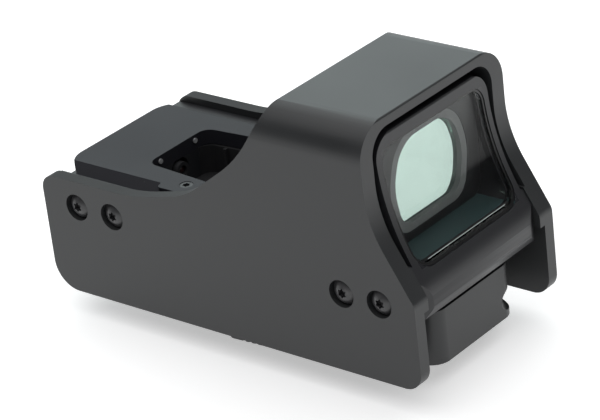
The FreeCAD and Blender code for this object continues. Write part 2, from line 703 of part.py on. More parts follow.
def make_bead():
    """Black sealant bead lying on the pane's rim against the lip."""
    layer = window_layer(GLASS_RECESS - BEAD, GLASS_RECESS)
    ring = window_outline(0.1, ROOF_REAR_Y, PANEL_LENGTH + 5)
    return layer.common(ring.cut(window_outline(0.1 + BEAD, ROOF_REAR_Y - 1, PANEL_LENGTH + 9)))


def make_lens_cell():
    """Dark wall across the tunnel that carries the lens."""
    rear_y = LENS_FRONT_Y - LENS_THICK - 0.9
    wall = along_y(slab(TUNNEL_HALF - 0.06, TUNNEL_FLOOR_Z + 0.06, TUNNEL_TOP_Z - 0.06, 3.44),
                   rear_y, LENS_WALL_FRONT_Y)
    ring_seat = lens_corners(LENS_RING_WIDTH + 0.04)
    wall = wall.cut(along_y(ring_seat, LENS_FRONT_Y, LENS_WALL_FRONT_Y + 1))
    return wall.cut(along_y(lens_corners(LENS_SEAT), rear_y - 1, LENS_FRONT_Y))


def make_lens_ring():
    """Flat grey ring in front of the lens."""
    front_y = LENS_WALL_FRONT_Y - 0.15
    ring = along_y(lens_corners(LENS_RING_WIDTH), LENS_FRONT_Y, front_y)
    return ring.cut(along_y(lens_corners(0), LENS_FRONT_Y - 1, front_y + 1))


def make_lens():
    return along_y(lens_corners(LENS_SEAT - 0.08), LENS_FRONT_Y - LENS_THICK, LENS_FRONT_Y - 0.02)


def make_lens_retainer():
    """Thin ring behind the lens."""
    rear_y = LENS_FRONT_Y - LENS_THICK - 0.85
    outer = along_y(lens_corners(LENS_SEAT - 0.08), rear_y, LENS_FRONT_Y - LENS_THICK - 0.02)
    return outer.cut(along_y(lens_corners(-0.6), rear_y - 1, LENS_FRONT_Y))


def make_housing_screws():
    screws = []
    for sign in (-1, 1):
        for y in HOUSING_SCREW_Y:
            seat = V(sign * HOUSING_SCREW_X, y, BODY_FLOOR_Z + SMALL_HEAD_H + 8.2)
            reach = HOUSING_FLOOR_Z - seat.z + HOUSING_BITE
            screws.append(small_screw(seat, V(0, 0, -1), reach))
    return screws


# ================================================================ rear face: cell and buttons
def make_cell_cap():
    """Threaded cap with a coin slot and a grip rim."""
    back = V(CELL_X, BODY_REAR_Y - CAP_PROUD, CELL_Z)
    cap = rod(CAP_R, back, back + V(0, CAP_PROUD, 0))
    for i in range(18):
        angle = math.radians(20 * i)
        spot = back + V(math.cos(angle), 0, math.sin(angle)) * (CAP_R + 0.25)
        cap = cap.cut(rod(0.62, spot - V(0, 1, 0), spot + V(0, CAP_PROUD - 0.4, 0)))
    groove_y = BODY_REAR_Y + RING_R
    plug = rod(CAP_THREAD_R, V(CELL_X, BODY_REAR_Y, CELL_Z),
               V(CELL_X, BODY_REAR_Y + CAP_THREAD, CELL_Z))
    cap = cap.fuse(plug)
    cap = cap.cut(box(CELL_X - CAP_R + 1.6, CELL_X + CAP_R - 1.6, BODY_REAR_Y - CAP_PROUD - 1,
                      BODY_REAR_Y - CAP_PROUD + 1.1, CELL_Z - 0.75, CELL_Z + 0.75))
    ring = Part.makeTorus(CAP_THREAD_R, RING_R, V(CELL_X, groove_y + 0.4, CELL_Z), V(0, 1, 0))
    return cap.cut(ring)


def make_cell_ring():
    """Rubber ring in the cap's groove."""
    centre = V(CELL_X, BODY_REAR_Y + RING_R + 0.4, CELL_Z)
    ring = Part.makeTorus(CAP_THREAD_R - 0.02, RING_R - 0.05, centre, V(0, 1, 0))
    trim = rod(CAP_THREAD_R + 0.09, V(CELL_X, 0, CELL_Z), V(CELL_X, 9, CELL_Z))
    return ring.common(trim)


def make_cell():
    """One cylindrical cell with its raised contact."""
    start = V(CELL_X, BODY_REAR_Y + CAP_THREAD + 0.05, CELL_Z)
    body = rod(CELL_R, start, start + V(0, CELL_LENGTH - 1.2, 0))
    nub = rod(1.9, start, start + V(0, CELL_LENGTH, 0))
    return body.fuse(nub)


def make_cell_contact():
    """Domed contact plate at the blind end of the bore."""
    start = BODY_REAR_Y + CAP_THREAD + 0.05 + CELL_LENGTH + 0.05
    end = BODY_REAR_Y + CAP_THREAD + CELL_LENGTH + 4.0
    plate = rod(CELL_R + CELL_GAP - 0.02, V(CELL_X, end - 1.0, CELL_Z), V(CELL_X, end, CELL_Z))
    stalk = rod(2.4, V(CELL_X, start, CELL_Z), V(CELL_X, end, CELL_Z))
    return plate.fuse(stalk)


def frame_edges():
    """X and Z limits of the button frame on the rear face."""
    right = CELL_X - CAP_R - 0.4
    return BAY_LEFT - 1.6, right, BAY_FLOOR_Z - 0.9, BAY_ROOF_Z + 2.6


def frame_screw_spots():
    left, right, low, high = frame_edges()
    middle = (BUTTON_X[0] + BUTTON_X[1]) / 2
    return [V(left + 3.0, BODY_REAR_Y, high - 1.25), V(middle, BODY_REAR_Y, high - 1.25)]


def make_button_frame():
    """Thin plate round both buttons."""
    left, right, low, high = frame_edges()
    corners = [(left, low, 1.4), (right, low, 1.0), (right, high, 1.0), (left, high, 1.4)]
    frame = along_y(corners, BODY_REAR_Y - FRAME_THICK, BODY_REAR_Y)
    for x in BUTTON_X:
        frame = frame.cut(rod(BUTTON_R + BUTTON_FIT, V(x, -9, BUTTON_Z), V(x, 9, BUTTON_Z)))
    for spot in frame_screw_spots():
        frame = frame.cut(rod(SMALL_HOLE + 0.05, spot - V(0, 3, 0), spot + V(0, 3, 0)))
    return frame


def make_frame_screws():
    screws = []
    for spot in frame_screw_spots():
        seat = spot - V(0, FRAME_THICK, 0)
        screws.append(small_dome_screw(seat))
    return screws


def small_dome_screw(seat):
    """Tiny screw for the button frame; its head is low and narrow."""
    head = rod(1.15, seat - V(0, 0.55, 0), seat)
    shank = rod(SMALL_SHANK, seat - V(0, 0.2, 0), seat + V(0, FRAME_THICK + 3.4, 0))
    slot = box(seat.x - 2, seat.x + 2, seat.y - 1, seat.y - 0.3, seat.z - 0.16, seat.z + 0.16)
    return head.fuse(shank).cut(slot)


def make_button(x):
    """Rubber button with a flange behind the frame and a stem to its switch."""
    flange_y = BODY_REAR_Y + 0.06
    cap = rod(BUTTON_R, V(x, BODY_REAR_Y - FRAME_THICK - BUTTON_PROUD, BUTTON_Z),
              V(x, flange_y + 0.8, BUTTON_Z))
    cap = cap.makeFillet(0.5, [e for e in cap.Edges if e.CenterOfMass.y < 0
                               and len(e.Vertexes) == 1])
    flange = rod(BUTTON_R + 0.9, V(x, flange_y, BUTTON_Z), V(x, flange_y + 0.8, BUTTON_Z))
    stem = rod(1.2, V(x, flange_y, BUTTON_Z), V(x, flange_y + 1.6, BUTTON_Z))
    return cap.fuse(flange).fuse(stem)


def arrow_mark(x, up):
    """Plain raised triangle on a button's face."""
    face_y = BODY_REAR_Y - FRAME_THICK - BUTTON_PROUD
    reach = 1.25 if up else -1.25
    corners = [(x - 1.5, BUTTON_Z - reach * 0.7, 0.2), (x + 1.5, BUTTON_Z - reach * 0.7, 0.2),
               (x, BUTTON_Z + reach, 0.2)]
    return along_y(corners, face_y - 0.15, face_y + 0.2)


def switch_front():
    return BODY_REAR_Y + 0.06 + 1.6 + BUTTON_TRAVEL + 0.05


def make_switches():
    return [box(x - 2.2, x + 2.2, switch_front(), switch_front() + 1.2,
                BUTTON_Z - 2.2, BUTTON_Z + 2.2) for x in BUTTON_X]


def make_switch_board():
    back = switch_front() + 1.2
    return box(BAY_LEFT + 0.1, BAY_RIGHT - 0.1, back, back + BOARD_THICK, BAY_FLOOR_Z, BAY_ROOF_Z)


def make_control_board():
    rear = switch_front() + 1.2 + BOARD_THICK + 0.3
    return box(BAY_LEFT + 0.6, BAY_RIGHT - 0.6, rear, BAY_FRONT_Y - 1,
               BAY_FLOOR_Z, BAY_FLOOR_Z + BOARD_THICK)


def make_board_chips():
    """Driver chip, coil and two capacitors on the control board."""
    top = BAY_FLOOR_Z + BOARD_THICK
    left = BAY_LEFT
    return [
        box(left + 3, left + 9, 22, 28, top, top + 1.1),
        rod(2.6, V(left + 14, 26, top), V(left + 14, 26, top + 2.4)),
        box(left + 4, left + 6.2, 33, 34.4, top, top + 1.3),
        box(left + 9, left + 11.2, 33, 34.4, top, top + 1.3),
    ]


# ================================================================ emitter and adjusters
def sled_floor():
    """Underside of the sled's base at rest."""
    return CHAMBER_FLOOR_Z + SLED_LIFT + 0.9


def wedge_top(x):
    """Height of the wedge's sloped top at rest; it falls towards +X."""
    return ELEVATION_Z + ADJUSTER_R + 0.7 + (WEDGE_RIGHT - x) * WEDGE_SLOPE


def make_wedge():
    """Threaded wedge on the body's shelf; it lifts the sled as it moves."""
    corners = [
        (WEDGE_LEFT, SHELF_TOP_Z + 0.05, 0),
        (WEDGE_RIGHT, SHELF_TOP_Z + 0.05, 0),
        (WEDGE_RIGHT, wedge_top(WEDGE_RIGHT), 0),
        (WEDGE_LEFT, wedge_top(WEDGE_LEFT), 0),
    ]
    wedge = along_y(corners, ADJUSTER_Y - WEDGE_HALF_Y, ADJUSTER_Y + WEDGE_HALF_Y)
    left = V(WEDGE_LEFT - 1, ADJUSTER_Y, ELEVATION_Z)
    return wedge.cut(rod(ADJUSTER_R + RUN_GAP, left, V(WEDGE_RIGHT + 1, left.y, left.z)))


def make_sled():
    """Sled that rises and sinks; its sloped foot rests on the wedge."""
    floor = sled_floor()
    rear, front = CHAMBER_REAR_Y + RUN_GAP, WELL_REAR_Y - WALL - RUN_GAP
    cheek_x = WEDGE_LEFT - 0.5
    base = box(cheek_x, CHAMBER_HALF - 3.6, rear, front, floor, floor + 0.8)
    cheek = box(cheek_x, cheek_x + 1.6, rear, front, floor, EMITTER_Z + 1.5)
    left, right = WEDGE_LEFT + WEDGE_TRAVEL, WEDGE_RIGHT - WEDGE_TRAVEL
    foot = [
        (left, floor + 0.1, 0),
        (right, floor + 0.1, 0),
        (right, wedge_top(right) + 0.05, 0),
        (left, wedge_top(left) + 0.05, 0),
    ]
    sled = base.fuse(cheek)
    sled = sled.fuse(along_y(foot, ADJUSTER_Y - WEDGE_HALF_Y, ADJUSTER_Y + WEDGE_HALF_Y))
    bore = V(cheek_x - 1, ADJUSTER_Y, WINDAGE_Z)
    return sled.cut(rod(ADJUSTER_R + RUN_GAP, bore, bore + V(3, 0, 0))).removeSplitter()


def make_emitter_block():
    """Block that carries the emitter tube and runs sideways on the sled."""
    floor = sled_floor() + 0.8 + RUN_GAP
    rear, front = CHAMBER_REAR_Y + 0.3, WELL_REAR_Y - WALL - 0.3
    block = box(-4.2, 4.2, rear, front, floor, EMITTER_Z + 2.0)
    mouth = V(0, WELL_REAR_Y + 0.9, EMITTER_Z)
    block = block.fuse(rod(TUBE_R, V(0, front - 1, EMITTER_Z), mouth))
    bore = V(-6, ADJUSTER_Y, WINDAGE_Z)
    block = block.cut(rod(ADJUSTER_R + RUN_GAP, bore, bore + V(7.5, 0, 0)))
    return block.cut(rod(1.25, mouth - V(0, 2.4, 0), mouth + V(0, 1, 0))).removeSplitter()


def make_led():
    """Small domed emitter in the tube."""
    base = V(0, WELL_REAR_Y - 1.45, EMITTER_Z)
    body = rod(1.23, base, base + V(0, 1.3, 0))
    return body.fuse(Part.makeSphere(1.0, base + V(0, 1.2, 0)))


def adjuster_screw(z, tip_x):
    """Slotted screw along X whose head shows in a window of the left panel."""
    shaft = rod(ADJUSTER_R, V(-BODY_HALF + 0.5, ADJUSTER_Y, z), V(tip_x, ADJUSTER_Y, z))
    head = rod(ADJUSTER_HEAD_R, V(-HALF + 0.8, ADJUSTER_Y, z), V(1.4 - BODY_HALF, ADJUSTER_Y, z))
    slot = box(-HALF, -HALF + 1.6, ADJUSTER_Y - 3, ADJUSTER_Y + 3, z - 0.25, z + 0.25)
    return shaft.fuse(head).cut(slot)


# ================================================================ rail clamp
def foot_screw_spots():
    return [(FOOT_SCREW_X, y) for y in FOOT_SCREW_Y]


def jaw_corners(fit):
    """Outline of the left, fixed jaw below the seat, with its notch for the rail's edge."""
    corner_x = RAIL_HALF + fit
    return [
        (-FOOT_HALF, SEAT_Z + 0.5, 0),
        (-RAIL_TOP_HALF - fit, SEAT_Z + 0.5, 0),
        (-RAIL_TOP_HALF - fit, SEAT_Z, 0),
        (-corner_x, SEAT_Z - RAIL_CORNER_DROP, 0),
        (-corner_x + JAW_DROP - RAIL_CORNER_DROP, FEET_Z, 0),
        (-FOOT_HALF, FEET_Z, 0.8),
    ]


def make_foot():
    """Clamp body: a slab under the sight, a tall nose in front and the fixed jaw."""
    slab_block = box(-FOOT_HALF, FOOT_HALF, FOOT_REAR_Y, BODY_FRONT_Y, SEAT_Z, BODY_FLOOR_Z)
    nose_outline = [
        (-FOOT_HALF, BODY_FRONT_Y, 0),
        (FOOT_HALF, BODY_FRONT_Y, 0),
        (FOOT_HALF, NOSE_FRONT_Y, NOSE_ROUND),
        (-FOOT_HALF, NOSE_FRONT_Y, NOSE_ROUND),
    ]
    foot = slab_block.fuse(along_z(nose_outline, SEAT_Z, NOSE_TOP_Z))
    foot = foot.fuse(along_y(jaw_corners(SLOT_FIT), JAW_REAR_Y, JAW_FRONT_Y))
    slot_x = RAIL_HALF + 2 * SLOT_FIT
    foot = foot.cut(box(slot_x, FOOT_HALF + 1, JAW_REAR_Y - SLOT_FIT, JAW_FRONT_Y + SLOT_FIT,
                        SEAT_Z - 1, BODY_FLOOR_Z + 1))
    foot = foot.cut(rod(BOLT_R + BOLT_FIT, V(-HALF, BOLT_Y, BOLT_Z), V(HALF, BOLT_Y, BOLT_Z)))
    foot = foot.cut(rod(M3_HOLE, V(slot_x - 8, PIN_Y, BOLT_Z + 1), V(HALF, PIN_Y, BOLT_Z + 1)))
    for sign in (-1, 1):
        for x, y in foot_screw_spots():
            seat = V(sign * x, y, SEAT_Z + FOOT_SCREW_HEAD_DROP)
            foot = foot.cut(rod(COUNTERBORE_R, seat, seat - V(0, 0, 5)))
            foot = foot.cut(rod(M3_HOLE + 0.1, seat, seat + V(0, 0, 9)))
    slant = math.sqrt(0.5)
    corner = V(-FOOT_HALF + NOSE_ROUND, NOSE_FRONT_Y - NOSE_ROUND, SCALLOP_Z)
    reach = NOSE_ROUND + SCALLOP_R - SCALLOP_DEPTH
    middle = corner + V(-slant, slant, 0) * reach
    run = V(slant, slant, 0) * 12
    return foot.cut(rod(SCALLOP_R, middle - run, middle + run)).removeSplitter()


def make_jaw():
    """Moving jaw: the fixed jaw's mirror image with a back that slides beside the slab."""
    corner_x = RAIL_HALF + SLOT_FIT
    back_x = RAIL_HALF + 3 * SLOT_FIT
    lip_z = SEAT_Z - 0.06
    corners = [
        (back_x, BODY_FLOOR_Z - 0.2, 0),
        (FOOT_HALF, BODY_FLOOR_Z - 0.2, 0.5),
        (FOOT_HALF, FEET_Z, 0.8),
        (corner_x - JAW_DROP + RAIL_CORNER_DROP, FEET_Z, 0),
        (corner_x, SEAT_Z - RAIL_CORNER_DROP, 0),
        (RAIL_TOP_HALF + SLOT_FIT + 0.06, lip_z, 0),
        (back_x, lip_z, 0),
    ]
    jaw = along_y(corners, JAW_REAR_Y, JAW_FRONT_Y)
    jaw = jaw.cut(rod(BOLT_R + BOLT_FIT, V(0, BOLT_Y, BOLT_Z), V(HALF, BOLT_Y, BOLT_Z)))
    return jaw.cut(rod(M3_HOLE, V(0, PIN_Y, BOLT_Z + 1), V(HALF, PIN_Y, BOLT_Z + 1)))


def make_guide_pin():
    """Steel pin pressed into the slab; the jaw runs on its free end."""
    start = RAIL_HALF - 7.4
    return rod(M3_SHANK, V(start, PIN_Y, BOLT_Z + 1), V(FOOT_HALF - 0.4, PIN_Y, BOLT_Z + 1))


def make_cross_bolt():
    """Bolt across the foot; its middle also keys into a slot of the rail."""
    return rod(BOLT_R, V(-FOOT_HALF - NUT_THICK, BOLT_Y, BOLT_Z),
               V(LEVER_INNER_X + LEVER_THICK - 0.1, BOLT_Y, BOLT_Z))


def make_bolt_nut():
    """Hexagon nut on the bolt's left end."""
    corners = []
    for i in range(6):
        angle = math.radians(60 * i)
        corners.append((BOLT_Y + NUT_R * math.cos(angle), BOLT_Z + NUT_R * math.sin(angle), 0.15))
    nut = along_x(corners, -FOOT_HALF - NUT_THICK + 0.5, -FOOT_HALF)
    return nut.cut(rod(BOLT_R, V(-HALF, BOLT_Y, BOLT_Z), V(0, BOLT_Y, BOLT_Z)))


def make_lever():
    """Clamp lever threaded on the bolt, folded back along the foot."""
    outer_x = LEVER_INNER_X + LEVER_THICK
    end_y = BOLT_Y + LEVER_BOSS_R
    arm = [
        (end_y, BOLT_Z - LEVER_BOSS_R, LEVER_BOSS_R * 0.97),
        (LEVER_TIP_Y + 1.4, LEVER_TIP_Z, 0.9),
        (LEVER_TIP_Y, LEVER_TIP_Z + 2.2, 1.2),
        (LEVER_TIP_Y + 1.4, LEVER_TIP_Z + 4.6, 1.5),
        (end_y, BOLT_Z + LEVER_BOSS_R, LEVER_BOSS_R * 0.97),
    ]
    lever = along_x(arm, LEVER_INNER_X, outer_x)
    hub = rod(LEVER_BOSS_R - 0.3, V(FOOT_HALF + 0.05, BOLT_Y, BOLT_Z),
              V(LEVER_INNER_X + 1, BOLT_Y, BOLT_Z))
    bore = rod(BOLT_R + BOLT_FIT, V(0, BOLT_Y, BOLT_Z), V(HALF, BOLT_Y, BOLT_Z))
    lever = lever.fuse(hub).cut(bore)
    for i in range(5):
        y = LEVER_TIP_Y + 5 + 1.8 * i
        spot = V(outer_x + 0.35, y, LEVER_TIP_Z - 2)
        lever = lever.cut(rod(0.6, spot, spot + V(0, 0, 12)))
    return lever.removeSplitter()


def make_foot_screws():
    screws = []
    for sign in (-1, 1):
        for x, y in foot_screw_spots():
            seat = V(sign * x, y, SEAT_Z + FOOT_SCREW_HEAD_DROP)
            screws.append(button_screw(seat, V(0, 0, -1), BODY_FLOOR_Z - seat.z + 5.0))
    return screws


# ================================================================ build
def main():
    os.makedirs("parts", exist_ok=True)
    save("hood", make_hood())
    for name, sign in (("right", 1), ("left", -1)):
        save("hood_screws_" + name, *[side_screw(sign, y, z) for y, z in side_spots()])
    save("lower_body", make_body())
    save("deck_plate", make_deck_plate())
    save("deck_screws", *make_deck_screws())
    save("well_pins", *make_well_pins())
    save("well_liner", make_well_liner())
    save("window_housing", make_housing())
    save("housing_screws", *make_housing_screws())
    save("front_window", make_pane())
    save("window_sealant", make_bead())
    save("lens_cell", make_lens_cell())
    save("lens_ring", make_lens_ring())
    save("reflector_lens", make_lens())
    save("lens_retainer", make_lens_retainer())
    save("battery_cap", make_cell_cap())
    save("battery_cap_ring", make_cell_ring())
    save("battery_cell", make_cell())
    save("battery_contact", make_cell_contact())
    save("button_frame", make_button_frame())
    save("button_frame_screws", *make_frame_screws())
    for name, x, up in (("dimmer", BUTTON_X[0], False), ("brighter", BUTTON_X[1], True)):
        save("button_" + name, make_button(x).fuse(arrow_mark(x, up)))
    save("switches", *make_switches())
    save("switch_board", make_switch_board())
    save("control_board", make_control_board())
    save("board_components", *make_board_chips())
    save("elevation_sled", make_sled())
    save("elevation_wedge", make_wedge())
    save("elevation_screw", adjuster_screw(ELEVATION_Z, WEDGE_RIGHT - 0.6))
    save("windage_block", make_emitter_block())
    save("windage_screw", adjuster_screw(WINDAGE_Z, -0.2))
    save("emitter", make_led())
    save("clamp_foot", make_foot())
    save("clamp_jaw", make_jaw())
    save("jaw_guide_pin", make_guide_pin())
    save("cross_bolt", make_cross_bolt())
    save("cross_bolt_nut", make_bolt_nut())
    save("clamp_lever", make_lever())
    save("foot_screws", *make_foot_screws())


main()
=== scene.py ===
"""Studio view of a hooded reflex dot sight that stands on its clamp jaws.

The sight is laid out in metres with +X to the right, +Y towards the target and +Z up.
Shapes come from the frame.  This file breaks their sharp edges, adds two small pieces
of its own at the window and gives every piece its finish.
"""

import json
import math
import random

import bmesh
import bpy
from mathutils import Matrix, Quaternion, Vector

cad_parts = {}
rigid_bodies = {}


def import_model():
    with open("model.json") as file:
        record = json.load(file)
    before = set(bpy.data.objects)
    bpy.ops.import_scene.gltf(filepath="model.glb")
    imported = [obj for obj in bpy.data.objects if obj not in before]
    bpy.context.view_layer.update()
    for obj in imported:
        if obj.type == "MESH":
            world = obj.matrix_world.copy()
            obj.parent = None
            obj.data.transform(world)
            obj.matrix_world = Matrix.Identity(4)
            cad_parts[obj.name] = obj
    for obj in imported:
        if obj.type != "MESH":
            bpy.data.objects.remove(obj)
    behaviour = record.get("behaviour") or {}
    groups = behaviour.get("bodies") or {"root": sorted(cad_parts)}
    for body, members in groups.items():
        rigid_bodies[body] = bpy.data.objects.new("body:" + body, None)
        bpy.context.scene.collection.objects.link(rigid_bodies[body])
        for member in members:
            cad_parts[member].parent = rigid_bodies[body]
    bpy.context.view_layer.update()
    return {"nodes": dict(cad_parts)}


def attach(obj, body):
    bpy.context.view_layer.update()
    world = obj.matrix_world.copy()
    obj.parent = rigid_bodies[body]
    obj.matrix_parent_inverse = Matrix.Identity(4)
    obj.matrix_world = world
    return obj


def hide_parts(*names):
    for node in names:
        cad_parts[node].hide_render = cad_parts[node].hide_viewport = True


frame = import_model()
MM = 0.001


# ---- Studio -----------------------------------------------------------------------
# A pale seamless floor under a broad overhead light, with a second, cooler soft light
# low behind the sight. The long lens looks down at the right side and the window.
FLOOR_REACH = 4.0
FLOOR_GREY = (0.86, 0.86, 0.86, 1)
FLOOR_GLOW = 0.46
AIR_TINT = (0.95, 0.97, 1.0, 1)
AIR_STRENGTH = 0.16
ROOF_LIGHT_TINT = (0.88, 1.0, 1.0)

scene = bpy.context.scene
scene.view_settings.view_transform = "Standard"
scene.view_settings.look = "None"

floor_data = bpy.data.meshes.new("floor")
floor_shape = bmesh.new()
bmesh.ops.create_grid(floor_shape, x_segments=1, y_segments=1, size=FLOOR_REACH)
floor_shape.to_mesh(floor_data)
floor_shape.free()
floor = bpy.data.objects.new("floor", floor_data)
scene.collection.objects.link(floor)

floor_paint = bpy.data.materials.new("floor_paint")
floor_paint.use_nodes = True
floor_skin = floor_paint.node_tree.nodes["Principled BSDF"]
floor_skin.inputs["Base Color"].default_value = FLOOR_GREY
floor_skin.inputs["Roughness"].default_value = 0.8
floor_skin.inputs["Specular IOR Level"].default_value = 0.1
floor_skin.inputs["Emission Color"].default_value = (1.0, 1.0, 1.0, 1)
floor_skin.inputs["Emission Strength"].default_value = FLOOR_GLOW
floor_data.materials.append(floor_paint)

world = bpy.data.worlds.new("studio_air")
world.use_nodes = True
air = world.node_tree.nodes["Background"]
air.inputs["Color"].default_value = AIR_TINT
air.inputs["Strength"].default_value = AIR_STRENGTH
scene.world = world


def softbox(name, place, aim, size, power, tint=(1.0, 1.0, 1.0)):
    """Rectangular soft light that points at a place on the sight."""
    lamp = bpy.data.lights.new(name, "AREA")
    lamp.shape = "RECTANGLE"
    lamp.size = size[0]
    lamp.size_y = size[1]
    lamp.energy = power
    lamp.color = tint
    holder = bpy.data.objects.new(name, lamp)
    holder.location = place
    holder.rotation_mode = "QUATERNION"
    holder.rotation_quaternion = (Vector(aim) - Vector(place)).to_track_quat("-Z", "Y")
    scene.collection.objects.link(holder)


softbox("overhead_light", (0.05, 0.0, 1.6), (0.05, 0.0, 0.0), (3.0, 3.0), 36.0)
softbox("roof_light", (-1.0, -0.9, 0.66), (0, 0, 0.05), (1.6, 1.0), 7.5, ROOF_LIGHT_TINT)

CAMERA_AIM = Vector((-69.913, -59.793, -20.169)) * MM
CAMERA_AZIMUTH = math.radians(131.713)
CAMERA_ELEVATION = math.radians(26.225)
CAMERA_ROLL = math.radians(-6.899)
CAMERA_DISTANCE = 729.289 * MM
CAMERA_LENS = 170.5
camera_back = Vector((
    math.sin(CAMERA_AZIMUTH) * math.cos(CAMERA_ELEVATION),
    -math.cos(CAMERA_AZIMUTH) * math.cos(CAMERA_ELEVATION),
    math.sin(CAMERA_ELEVATION),
))
camera_data = bpy.data.cameras.new("camera")
camera_data.lens = CAMERA_LENS
camera_data.clip_start = 0.05
camera_data.clip_end = 20.0
camera = bpy.data.objects.new("camera", camera_data)
camera.location = CAMERA_AIM + camera_back * CAMERA_DISTANCE
camera.rotation_mode = "QUATERNION"
camera.rotation_quaternion = (
    (-camera_back).to_track_quat("-Z", "Y") @ Quaternion((0, 0, 1), CAMERA_ROLL)
)
scene.collection.objects.link(camera)
scene.camera = camera


# ---- Hood -------------------------------------------------------------------------
# One piece of 3 mm aluminium folded over the window. It is bead-blasted, anodised
# black and has every edge broken, so the edges carry a thin bright line.
MERGE_DISTANCE = 2e-6
FLAT_ANGLE = math.radians(0.3)
SHARP_ANGLE = math.radians(28.0)


def softened(node_name, width, segments=2):
    """Copy of a CAD piece with its sharp edges broken by a small bevel."""
    source = frame["nodes"][node_name]
    shape = bmesh.new()
    shape.from_mesh(source.data)
    bmesh.ops.remove_doubles(shape, verts=shape.verts, dist=MERGE_DISTANCE)
    bmesh.ops.dissolve_limit(shape, angle_limit=FLAT_ANGLE, verts=shape.verts,
                             edges=shape.edges)
    for face in shape.faces:
        face.smooth = True
    for edge in shape.edges:
        if len(edge.link_faces) == 2:
            edge.smooth = edge.calc_face_angle(0) < SHARP_ANGLE
    data = bpy.data.meshes.new(node_name + "_finished")
    shape.to_mesh(data)
    shape.free()
    piece = bpy.data.objects.new(node_name + "_finished", data)
    scene.collection.objects.link(piece)
    bevel = piece.modifiers.new("broken_edges", "BEVEL")
    bevel.width = width
    bevel.segments = segments
    bevel.limit_method = "ANGLE"
    bevel.angle_limit = SHARP_ANGLE
    bevel.use_clamp_overlap = True
    even = piece.modifiers.new("even_normals", "WEIGHTED_NORMAL")
    even.keep_sharp = True
    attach(piece, source.parent.name.replace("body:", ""))
    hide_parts(node_name)
    return piece


def socket(group, name, kind, value=None, leaves=False):
    """Adds one named input or output to a node group."""
    made = group.interface.new_socket(
        name=name, in_out="OUTPUT" if leaves else "INPUT", socket_type=kind)
    if value is not None:
        made.default_value = value


def node(tree, kind, **settings):
    """Adds a shader node with its settings."""
    made = tree.nodes.new(kind)
    for key, value in settings.items():
        setattr(made, key, value)
    return made


def noise(tree, place, scale, detail, roughness=0.5):
    """Cloudy value between nought and one, in cycles per metre of the piece."""
    made = node(tree, "ShaderNodeTexNoise")
    made.inputs["Scale"].default_value = scale
    made.inputs["Detail"].default_value = detail
    made.inputs["Roughness"].default_value = roughness
    tree.links.new(place, made.inputs["Vector"])
    return made.outputs["Fac"]


def remap(tree, value, low, high, out_low, out_high):
    """Stretches a value's range onto another one, held at its ends."""
    made = node(tree, "ShaderNodeMapRange")
    made.inputs["From Min"].default_value = low
    made.inputs["From Max"].default_value = high
    made.inputs["To Min"].default_value = out_low
    made.inputs["To Max"].default_value = out_high
    tree.links.new(value, made.inputs["Value"])
    return made.outputs["Result"]


def combine(tree, operation, a, b):
    """One sum on two values, each a number or another node's output."""
    made = node(tree, "ShaderNodeMath", operation=operation)
    for slot_index, value in enumerate((a, b)):
        if isinstance(value, (int, float)):
            made.inputs[slot_index].default_value = value
        else:
            tree.links.new(value, made.inputs[slot_index])
    return made.outputs[0]


def blended(tree, factor, a, b, mode="MIX"):
    """Mix of two colours, each a plain colour or another node's output."""
    made = node(tree, "ShaderNodeMix", data_type="RGBA", blend_type=mode)
    for name, value in (("Factor", factor), ("A", a), ("B", b)):
        target = [s for s in made.inputs if s.name == name and s.enabled][0]
        if isinstance(value, (int, float, tuple)):
            target.default_value = value
        else:
            tree.links.new(value, target)
    return [s for s in made.outputs if s.enabled][0]


def finish_group(name, tone, roughness):
    """Empty finish with the named inputs and outputs that every finish shares."""
    group = bpy.data.node_groups.new(name, "ShaderNodeTree")
    socket(group, "Tone", "NodeSocketColor", (*tone, 1))
    socket(group, "Roughness", "NodeSocketFloat", roughness)
    socket(group, "Grain", "NodeSocketFloat", 1.0)
    socket(group, "Dust", "NodeSocketFloat", 0.3)
    socket(group, "Color", "NodeSocketColor", leaves=True)
    socket(group, "Roughness", "NodeSocketFloat", leaves=True)
    socket(group, "Height", "NodeSocketFloat", leaves=True)
    return group


# Blasted grain, faint handling marks and a little dust, shared by every anodised piece.
HANDLED_TONE = (0.045, 0.048, 0.05, 1)
DUST_TONE = (0.30, 0.30, 0.30, 1)
skin = finish_group("anodised_skin", (0.02, 0.02, 0.02), 0.42)
entry = node(skin, "NodeGroupInput")
leave = node(skin, "NodeGroupOutput")
place = node(skin, "ShaderNodeTexCoord").outputs["Object"]
cloud = noise(skin, place, 45.0, 3.0)
speck = noise(skin, place, 900.0, 4.0, 0.7)
blast = noise(skin, place, 5200.0, 2.0)
dust = combine(skin, "MULTIPLY", remap(skin, speck, 0.70, 0.78, 0.0, 1.0),
               entry.outputs["Dust"])
tone = blended(skin, remap(skin, cloud, 0.3, 0.7, 0.0, 0.16), entry.outputs["Tone"],
               HANDLED_TONE)
tone = blended(skin, combine(skin, "MULTIPLY", dust, 0.35), tone, DUST_TONE)
skin.links.new(tone, leave.inputs["Color"])
rough = combine(skin, "ADD", entry.outputs["Roughness"],
                remap(skin, cloud, 0.3, 0.7, -0.03, 0.03))
rough = combine(skin, "ADD", rough, combine(skin, "MULTIPLY", dust, 0.3))
skin.links.new(rough, leave.inputs["Roughness"])
skin.links.new(combine(skin, "MULTIPLY", blast, entry.outputs["Grain"]),
               leave.inputs["Height"])


